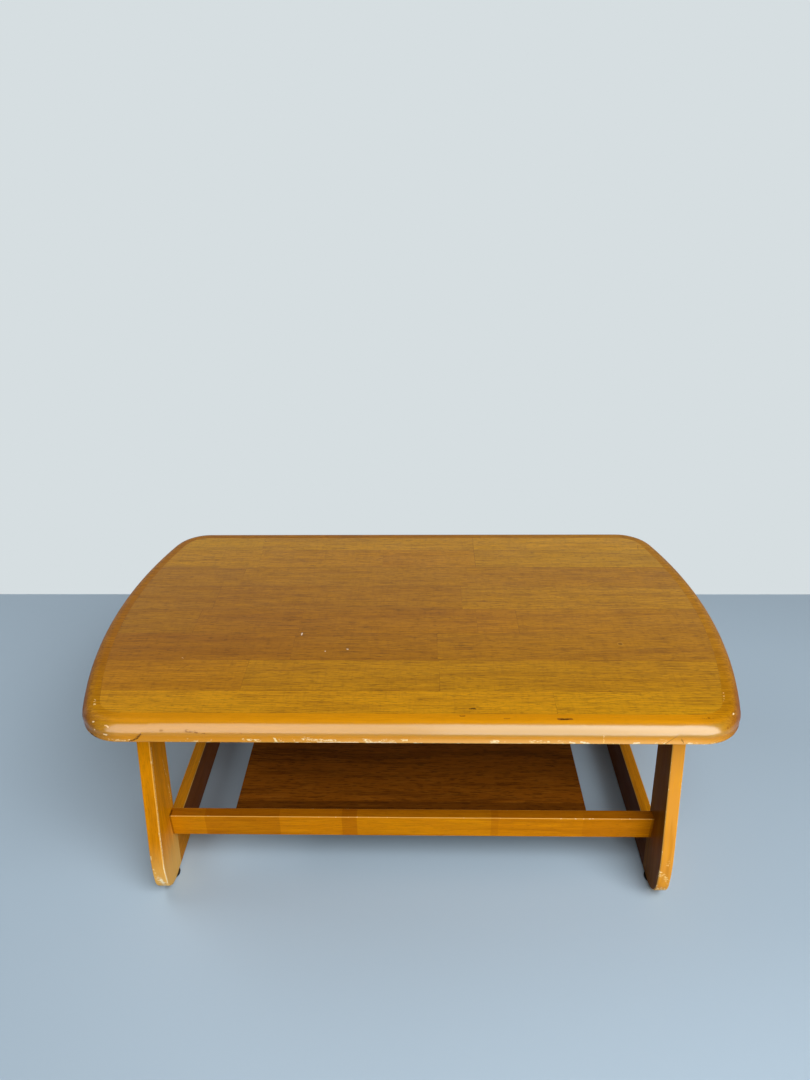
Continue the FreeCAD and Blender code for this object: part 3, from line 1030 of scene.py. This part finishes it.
@dataclass
class VeneerField:
    """The face veneer, cut into the leaves that the real field is laid from.

    The joints are in mm, and the weld in metres. Triangles within the angle flat, in degrees,
    become one face. A leaf's figure is taken whole steps in metres from its neighbours'.
    """

    node: str = "top_veneer_face"
    name: str = "veneer_leaves"
    joint: float = 0.5
    evened: float = 0.32
    weld: float = 1e-6
    flat: float = 0.5
    upward: float = 0.9
    leaf_step: Point = (1.7, 0.0, 0.7)
    row_step: Point = (0.9, 1.3, 0.0)
    left_end: float = -600.0
    # Leaf tones are partly their own and partly painted light and shade: lighter in the front
    # rows,
    # darker in the middle rows.
    rows: tuple[LeafRow, ...] = (
        LeafRow(-310.0, ((left_end, Tone.CREAM), (247.0, Tone.STRAW))),
        LeafRow(-246.0, ((left_end, Tone.RUSSET), (-292.0, Tone.AMBER), (54.0, Tone.AMBER))),
        LeafRow(-161.0, ((left_end, Tone.UMBER), (-218.0, Tone.BROWN), (52.0, Tone.FAWN))),
        LeafRow(-78.0, ((left_end, Tone.OLIVE), (-420.0, Tone.UMBER), (-214.0, Tone.BROWN),
                        (131.0, Tone.RUSSET), (210.0, Tone.FAWN))),
        LeafRow(4.0, ((left_end, Tone.OLIVE), (-401.0, Tone.BROWN), (105.0, Tone.AMBER))),
        LeafRow(89.0, ((left_end, Tone.OLIVE), (-364.0, Tone.FAWN), (120.0, Tone.FAWN))),
        LeafRow(167.0, ((left_end, Tone.AMBER), (-341.0, Tone.TAN), (-64.0, Tone.RUSSET),
                        (142.0, Tone.HONEY))),
        LeafRow(244.0, ((left_end, Tone.HONEY), (-345.0, Tone.AMBER), (142.0, Tone.STRAW))),
    )

    def find(self, place: Vector) -> tuple[int, int]:
        """Find the leaf at a point.

        Args:
            place: the point in metres.

        Returns:
            The row's number, and the leaf's number in it.
        """
        row = max(i for i, r in enumerate(self.rows) if r.front * MM < place.y)
        leaf = max(i for i, (start, _) in enumerate(self.rows[row].leaves) if start * MM < place.x)
        return row, leaf

    def tone(self, row: int, leaf: int, side: int) -> Vector:
        """The tone at one end of a leaf, which age has drawn towards its neighbour's.

        Args:
            row: the row's number.
            leaf: the leaf's number in it.
            side: -1 for the left end and 1 for the right one.

        Returns:
            The tone in linear light.
        """
        leaves = self.rows[row].leaves
        near = min(max(leaf + side, 0), len(leaves) - 1)
        own, other = (Vector(linear(leaves[i][1].value)) for i in (leaf, near))
        return own.lerp(other, self.evened)

    def cut(self, shape: bmesh.types.BMesh, faces: Iterable[bmesh.types.BMFace], at: Point,
            across: Point) -> None:
        """Cut faces along a plane.

        Args:
            shape: the mesh.
            faces: the faces to cut.
            at: a point on the plane.
            across: the plane's normal.
        """
        faces = list(faces)
        edges = {e for f in faces for e in f.edges}
        verts = {v for f in faces for v in f.verts}
        bmesh.ops.bisect_plane(shape, geom=[*verts, *edges, *faces], dist=self.weld,
                               plane_co=at, plane_no=across)

    def build(self, material: bpy.types.Material) -> bpy.types.Object:
        """Make the field.

        Args:
            material: its finish.

        Returns:
            The new piece, which stands for the CAD's sheet.
        """
        shape = bmesh.new()
        shape.from_mesh(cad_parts[self.node].data)
        tone = shape.loops.layers.float_color.new("leaf_tone")
        shift = shape.faces.layers.float_vector.new("leaf_shift")
        joint = shape.faces.layers.float.new("leaf_joint")
        bmesh.ops.remove_doubles(shape, verts=shape.verts, dist=self.weld)
        bmesh.ops.dissolve_limit(shape, angle_limit=math.radians(self.flat),
                                 verts=shape.verts, edges=shape.edges)
        for row in self.rows[1:]:
            self.cut(shape, shape.faces, (0.0, row.front * MM, 0.0), (0.0, 1.0, 0.0))
        for number, row in enumerate(self.rows):
            for start, _ in row.leaves[1:]:
                inside = [f for f in shape.faces if self.find(f.calc_center_bounds())[0] == number]
                self.cut(shape, inside, (start * MM, 0.0, 0.0), (1.0, 0.0, 0.0))
        shape.normal_update()
        leaves = [f for f in shape.faces if f.normal.z > self.upward]
        bmesh.ops.inset_individual(shape, faces=leaves, thickness=self.joint * MM,
                                   use_even_offset=True)
        shape.normal_update()
        whole = set(leaves)
        for face in shape.faces:
            middle = face.calc_center_bounds()
            row, leaf = self.find(middle)
            for corner in face.loops:
                corner[tone] = self.tone(row, leaf, 1 if corner.vert.co.x > middle.x else -1)
            steps = zip(self.leaf_step, self.row_step)
            face[shift] = Vector([leaf * along + row * aside for along, aside in steps])
            face[joint] = float(face.normal.z > self.upward and face not in whole)
        mesh = bpy.data.meshes.new(self.name)
        shape.to_mesh(mesh)
        shape.free()
        if "custom_normal" in mesh.attributes:
            mesh.attributes.remove(mesh.attributes["custom_normal"])
        mesh.shade_flat()
        mesh.materials.clear()
        mesh.materials.append(material)
        field = bpy.data.objects.new(self.name, mesh)
        bpy.context.scene.collection.objects.link(field)
        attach(field, BODY)
        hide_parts(self.node)
        log.info("built %s with %d faces", self.name, len(mesh.polygons))
        return field


@dataclass
class TableTop:
    """The top: core, veneers and lipping."""

    lipping: LippingHardwood = LippingHardwood(
        "lipping_hardwood_polished", "bc7e06", VENEER_GRAIN, wander=6.0,
        rubbed="ecb468", bare="f8e6b4", rub=0.85, coat=1.0, coat_roughness=0.2, coat_ior=1.6,
        joints=(-0.8724, 0.0024), scars=LIPPING_SCARS)
    veneer: LeafVeneer = LeafVeneer(
        "leaf_veneer_lacquered", "d49508", VENEER_GRAIN,
        roughness=0.46, specular=0.08, coat=0.42, coat_roughness=0.24, wander=6.0,
        scars=VENEER_SCARS)

    def build(self) -> None:
        """Cut the face veneer and finish every piece of the top."""
        dress(LIPPINGS, self.lipping.build(GrainRun.LENGTH))
        VeneerField().build(self.veneer.build(GrainRun.LENGTH))
        backing = RawBoard("backing_veneer_raw", "c89a62", RAW_GRAIN)
        dress(("top_veneer_back",), backing.build())
        core = RawBoard("core_board_raw", "d2b488", RAW_GRAIN)
        dress(("top_core",), core.build())


@dataclass
class EndFrames:
    """Both end frames: splayed legs with their rails. The front legs have lighter bases than the
    rear ones, painted light for the stronger light on them, and the inner faces of the rails and
    the right front leg carry painted shade.
    """

    wood: LacqueredHardwood = LacqueredHardwood(
        "frame_hardwood_lacquered", "cc8206", FRAME_GRAIN, scuff_and_floor_light=0.75,
        scars=LEG_SCARS)
    # Painted light: a lighter base for the left front leg, which more light reaches.
    painted_light_base: str = "de8e06"
    # Rails and plugs: painted shade on their inner faces, and painted light low at the left front.
    rail: PaintedShadeHardwood = PaintedShadeHardwood("rail_hardwood_lacquered", "cc8206", FRAME_GRAIN)
    # The right front leg: a paler base, painted light from the right, and painted shade inside.
    pale: PaintedShadeHardwood = PaintedShadeHardwood(
        "frame_hardwood_pale", "d89434", FRAME_GRAIN[:2], inside="bcb498",
        scars=PALE_LEG_SCARS)

    @property
    def splay(self) -> float:
        """The legs' lean from the vertical in radians, read off the rails between them."""
        (low, _), (high, _) = (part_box(rail) for rail in ("low_rail_left", "top_rail_left"))
        return math.atan((high.y - low.y) / (high.z - low.z))

    def build(self) -> None:
        """Finish the legs, rails and plugs."""
        left = replace(self.wood, base=self.painted_light_base)
        dress(("leg_front_left",), left.build(GrainRun.FRONT_LEG, self.splay))
        dress(("leg_front_right",), self.pale.build(GrainRun.FRONT_LEG, self.splay))
        dress(("leg_rear_left", "leg_rear_right"),
              self.wood.build(GrainRun.REAR_LEG, self.splay))
        dress(("low_rail_left", "low_rail_right", "top_rail_left", "top_rail_right",
               "screw_plugs"), self.rail.build(GrainRun.DEPTH))


@dataclass
class ShelfUnit:
    """The stretchers, the shelf between them and its cleats."""

    wood: FingerJointed = FingerJointed(
        "stretcher_hardwood_lacquered", "cc8206", FRAME_GRAIN,
        blocks=((-395.0, "ece4dc"), (-251.0, "fffaf4"), (-131.0, "e8dccc"), (-102.0, "ffffff"),
                (155.0, "f0e8dc"), (169.0, "fbf6f0"), (330.0, "f2eae2")),
        scars=STRETCHER_SCARS)
    board: LacqueredHardwood = LacqueredHardwood(
        "shelf_veneer_lacquered", "8c4e0a", SHELF_GRAIN, rubbed="a06a24", bare="b07a40",
        chip_level=0.9, rub=0.3,
        # Painted shadow: a dark band along the shelf's front, where the stretcher shades it.
        scars=(Scar((-342, -214, 134), (342, -214, 134), 20, "341804", 0.5),))

    def build(self) -> None:
        """Finish the stretchers, cleats and shelf."""
        wood = self.wood.build(GrainRun.LENGTH)
        dress(("stretcher_front", "stretcher_rear", "shelf_cleat_front", "shelf_cleat_rear"), wood)
        dress(("shelf",), self.board.build(GrainRun.LENGTH))


@dataclass
class Fittings:
    """Glides, screws, nails and dowels."""

    plastic: MouldedPlastic = MouldedPlastic("glide_polyethylene_moulded", "141416", "3a3a3c")
    steel: ZincSteel = ZincSteel("screw_steel_zinc_plated", "b8b2a0", "8a7a50")
    dowel: RawBoard = RawBoard("dowel_beech_raw", "d8b080", RAW_GRAIN)

    def build(self) -> None:
        """Finish the small parts."""
        dress(("glide_front_left", "glide_front_right", "glide_rear_left", "glide_rear_right"),
              self.plastic.build())
        dress(("stretcher_screws", "top_screws", "cleat_screws", "shelf_screws", "glide_nails"),
              self.steel.build())
        dress(("frame_dowels", "stretcher_dowels"), self.dowel.build())


@dataclass(frozen=True)
class Lamp:
    """A large soft lamp, such as a window, or a card that only the lipping's gloss shows.

    Its radiance is how bright its face looks, where 1 is white.
    """

    name: str
    place: Point
    size: tuple[float, float]
    radiance: float
    aim: Point
    lights: bool = True

    def build(self, glossy: bpy.types.Collection) -> None:
        """Hang the lamp or card.

        Args:
            glossy: the pieces whose gloss shows a card.
        """
        data = bpy.data.lights.new(self.name, "AREA")
        data.shape = "RECTANGLE"
        data.size, data.size_y = self.size
        data.energy = self.radiance * math.pi * self.size[0] * self.size[1]
        lamp = bpy.data.objects.new(self.name, data)
        lamp.location = self.place
        way = Vector(self.aim) - Vector(self.place)
        lamp.rotation_euler = way.to_track_quat("-Z", "Y").to_euler()
        lamp.visible_camera = False
        lamp.visible_diffuse = self.lights
        lamp.visible_glossy = not self.lights
        if not self.lights:
            lamp.light_linking.receiver_collection = glossy
        bpy.context.scene.collection.objects.link(lamp)


@dataclass
class Studio:
    """Pale floor and backdrop, soft lamps and the camera.

    The floor throws back less light than it shows, so that the shade below the table stays
    deep. A gloss shows a room with a dark ceiling.
    """

    camera_place: Point = (0.0223, -1.2476, 1.3004)
    pitch: float = 28.91
    yaw: float = -1.425
    roll: float = -0.763
    focal_pixels: float = 749.0
    sensor: float = 36.0
    nearest: float = 0.05
    wall_back: float = 0.75
    wall_height: float = 1.58
    stage_size: float = 9.0
    paper: str = "d6dee1"
    paper_dark: Fade = Fade(Axis.HEIGHT, 0.95, 1.5)
    floor: str = "b6cada"
    bounce: str = "38362e"
    floor_roughness: float = 0.9
    floor_specular: float = 0.1
    dim: str = "1c1c1c"
    room: str = "6e6c68"
    ceiling: str = "161616"
    ceiling_from: Band = Band(0.58, 0.7)
    lamps: tuple[Lamp, ...] = (
        Lamp("skylight", (1.3, -1.9, 2.9), (3.0, 2.4), 5.6, (0.3, 0.0, 0.45)),
        Lamp("low_fill", (0.9, -2.2, 0.17), (4.2, 0.3), 8.6, (0.3, 0.0, 0.17)),
        Lamp("left_side", (-1.9, 0.5, 2.2), (1.4, 1.4), 3.0, (-0.4, 0.0, 0.0)),
        Lamp("left_card", (-1.2, -2.6, 3.3), (2.4, 6.5), 3.6, (-1.0, 0.0, 3.3), False),
        Lamp("window_card", (0.47, -2.1, 3.3), (0.86, 6.5), 5.2, (0.47, 0.0, 3.3), False),
        Lamp("right_card", (1.77, -2.1, 2.85), (1.74, 5.5), 7.2, (1.77, 0.0, 2.85), False),
    )

    def camera(self) -> None:
        """Stand the camera where the photograph was taken from."""
        pitch, yaw, roll = (math.radians(a) for a in (self.pitch, self.yaw, self.roll))
        forward = Vector((math.sin(yaw) * math.cos(pitch), math.cos(yaw) * math.cos(pitch),
                          -math.sin(pitch)))
        level = Vector((math.cos(yaw), -math.sin(yaw), 0.0))
        upright = level.cross(forward)
        right = math.cos(roll) * level + math.sin(roll) * upright
        up = math.cos(roll) * upright - math.sin(roll) * level
        data = bpy.data.cameras.new("camera")
        data.sensor_fit = "AUTO"
        data.sensor_width = self.sensor
        data.lens = self.focal_pixels / max(IMAGE_WIDTH, IMAGE_HEIGHT) * self.sensor
        data.clip_start = self.nearest
        camera = bpy.data.objects.new("camera", data)
        turn = Matrix((right, up, -forward)).transposed()
        camera.matrix_world = Matrix.Translation(self.camera_place) @ turn.to_4x4()
        bpy.context.scene.collection.objects.link(camera)
        bpy.context.scene.camera = camera

    def seen(self, tree: Tree) -> Socket:
        """Tell what the camera looks at, also by way of a gloss or through glass.

        Args:
            tree: the node tree.

        Returns:
            1 for what it looks at, and else 0.
        """
        path = add(tree, Kind.RAY).node.outputs
        rays = add(tree, Kind.PLUS, path["Is Camera Ray"], path["Is Glossy Ray"])
        return add(tree, Kind.PLUS, rays, path["Is Transmission Ray"], use_clamp=True)

    def clear_behind(self, tree: Tree, shader: bpy.types.Node) -> None:
        """Let a sheet be seen through from behind, so that it blocks no view.

        Args:
            tree: the sheet's node tree.
            shader: the shader of its front.
        """
        mixed = add(tree, Kind.EITHER, add(tree, Kind.BEHIND), shader.outputs[0],
                    add(tree, Kind.CLEAR))
        output = next(n for n in tree.nodes if n.type == "OUTPUT_MATERIAL")
        tree.links.new(mixed, output.inputs["Surface"])

    def floor_material(self) -> bpy.types.Material:
        """Plain matt floor.

        Returns:
            The material.
        """
        material, tree, shader = new_material("floor_matt")
        colour = add(tree, Kind.MIX, self.seen(tree), linear(self.bounce), linear(self.floor))
        set_inputs(tree, shader, {
            "Base Color": colour,
            "Roughness": self.floor_roughness,
            "Specular IOR Level": self.floor_specular,
        })
        self.clear_behind(tree, shader)
        return material

    def paper_material(self) -> bpy.types.Material:
        """Evenly lit paper, whose upper part a gloss shows darker.

        Returns:
            The material.
        """
        material, tree, shader = new_material("backdrop_paper")
        gloss = add(tree, Kind.RAY, out="Is Glossy Ray")
        dark = chain(tree, Kind.TIMES, self.paper_dark.share(tree), gloss)
        set_inputs(tree, shader, {
            "Base Color": linear("000000"),
            "Specular IOR Level": 0.0,
            "Emission Color": linear(self.paper),
            "Emission Strength": chain(tree, Kind.MINUS, 1.0, dark),
        })
        self.clear_behind(tree, shader)
        return material

    def sheet(self, name: str, turn: Matrix, depth: float,
              material: bpy.types.Material) -> bpy.types.Object:
        """A large flat sheet of the stage, made of one face.

        Args:
            name: the sheet's name.
            turn: where it goes, from lying at the origin.
            depth: its size along Y as it lies.
            material: its finish.

        Returns:
            The sheet.
        """
        mesh = bpy.data.meshes.new(name)
        shape = bmesh.new()
        bmesh.ops.create_grid(shape, x_segments=1, y_segments=1, size=0.5)
        bmesh.ops.scale(shape, vec=(self.stage_size, depth, 1.0), verts=shape.verts)
        bmesh.ops.transform(shape, matrix=turn, verts=shape.verts)
        shape.to_mesh(mesh)
        shape.free()
        mesh.materials.append(material)
        sheet = bpy.data.objects.new(name, mesh)
        bpy.context.scene.collection.objects.link(sheet)
        return sheet

    def stage(self) -> None:
        """Lay the floor and stand the backdrop behind it."""
        self.sheet("floor", Matrix.Identity(4), self.stage_size, self.floor_material())
        stand = Matrix.Translation((0, self.wall_back, self.wall_height / 2))
        stand = stand @ Matrix.Rotation(math.pi / 2, 4, "X")
        wall = self.sheet("backdrop", stand, self.wall_height, self.paper_material())
        wall.visible_diffuse = False
        wall.visible_shadow = False

    def sky(self) -> None:
        """A dim even sky, which the camera sees as pale paper and a gloss as a room."""
        world = bpy.data.worlds.new("sky")
        world.use_nodes = True
        tree = world.node_tree
        background = next(n for n in tree.nodes if n.type == "BACKGROUND")
        height = add(tree, Kind.SPLIT, add(tree, Kind.SKYWARD), out="Z")
        above = self.ceiling_from.spread(tree, height)
        room = add(tree, Kind.MIX, above, linear(self.room), linear(self.ceiling))
        colour = add(tree, Kind.MIX, self.seen(tree), linear(self.dim), room)
        colour = add(tree, Kind.MIX, add(tree, Kind.RAY), colour, linear(self.paper))
        set_inputs(tree, background, {"Color": colour, "Strength": 1.0})
        bpy.context.scene.world = world

    def build(self) -> None:
        """Set up the whole stage."""
        self.camera()
        self.stage()
        self.sky()
        glossy = bpy.data.collections.new("lipping_gloss")
        for node in LIPPINGS:
            glossy.objects.link(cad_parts[node])
        for lamp in self.lamps:
            lamp.build(glossy)
        bpy.context.scene.view_settings.view_transform = "Standard"


def main() -> None:
    """Dress the table and set up its stage."""
    logging.basicConfig(level=logging.INFO, format="%(message)s")
    Studio().build()
    for part in (TableTop(), EndFrames(), ShelfUnit(), Fittings()):
        part.build()
        log.info("finished %s", type(part).__name__)


if __name__ == "__main__":
    main()
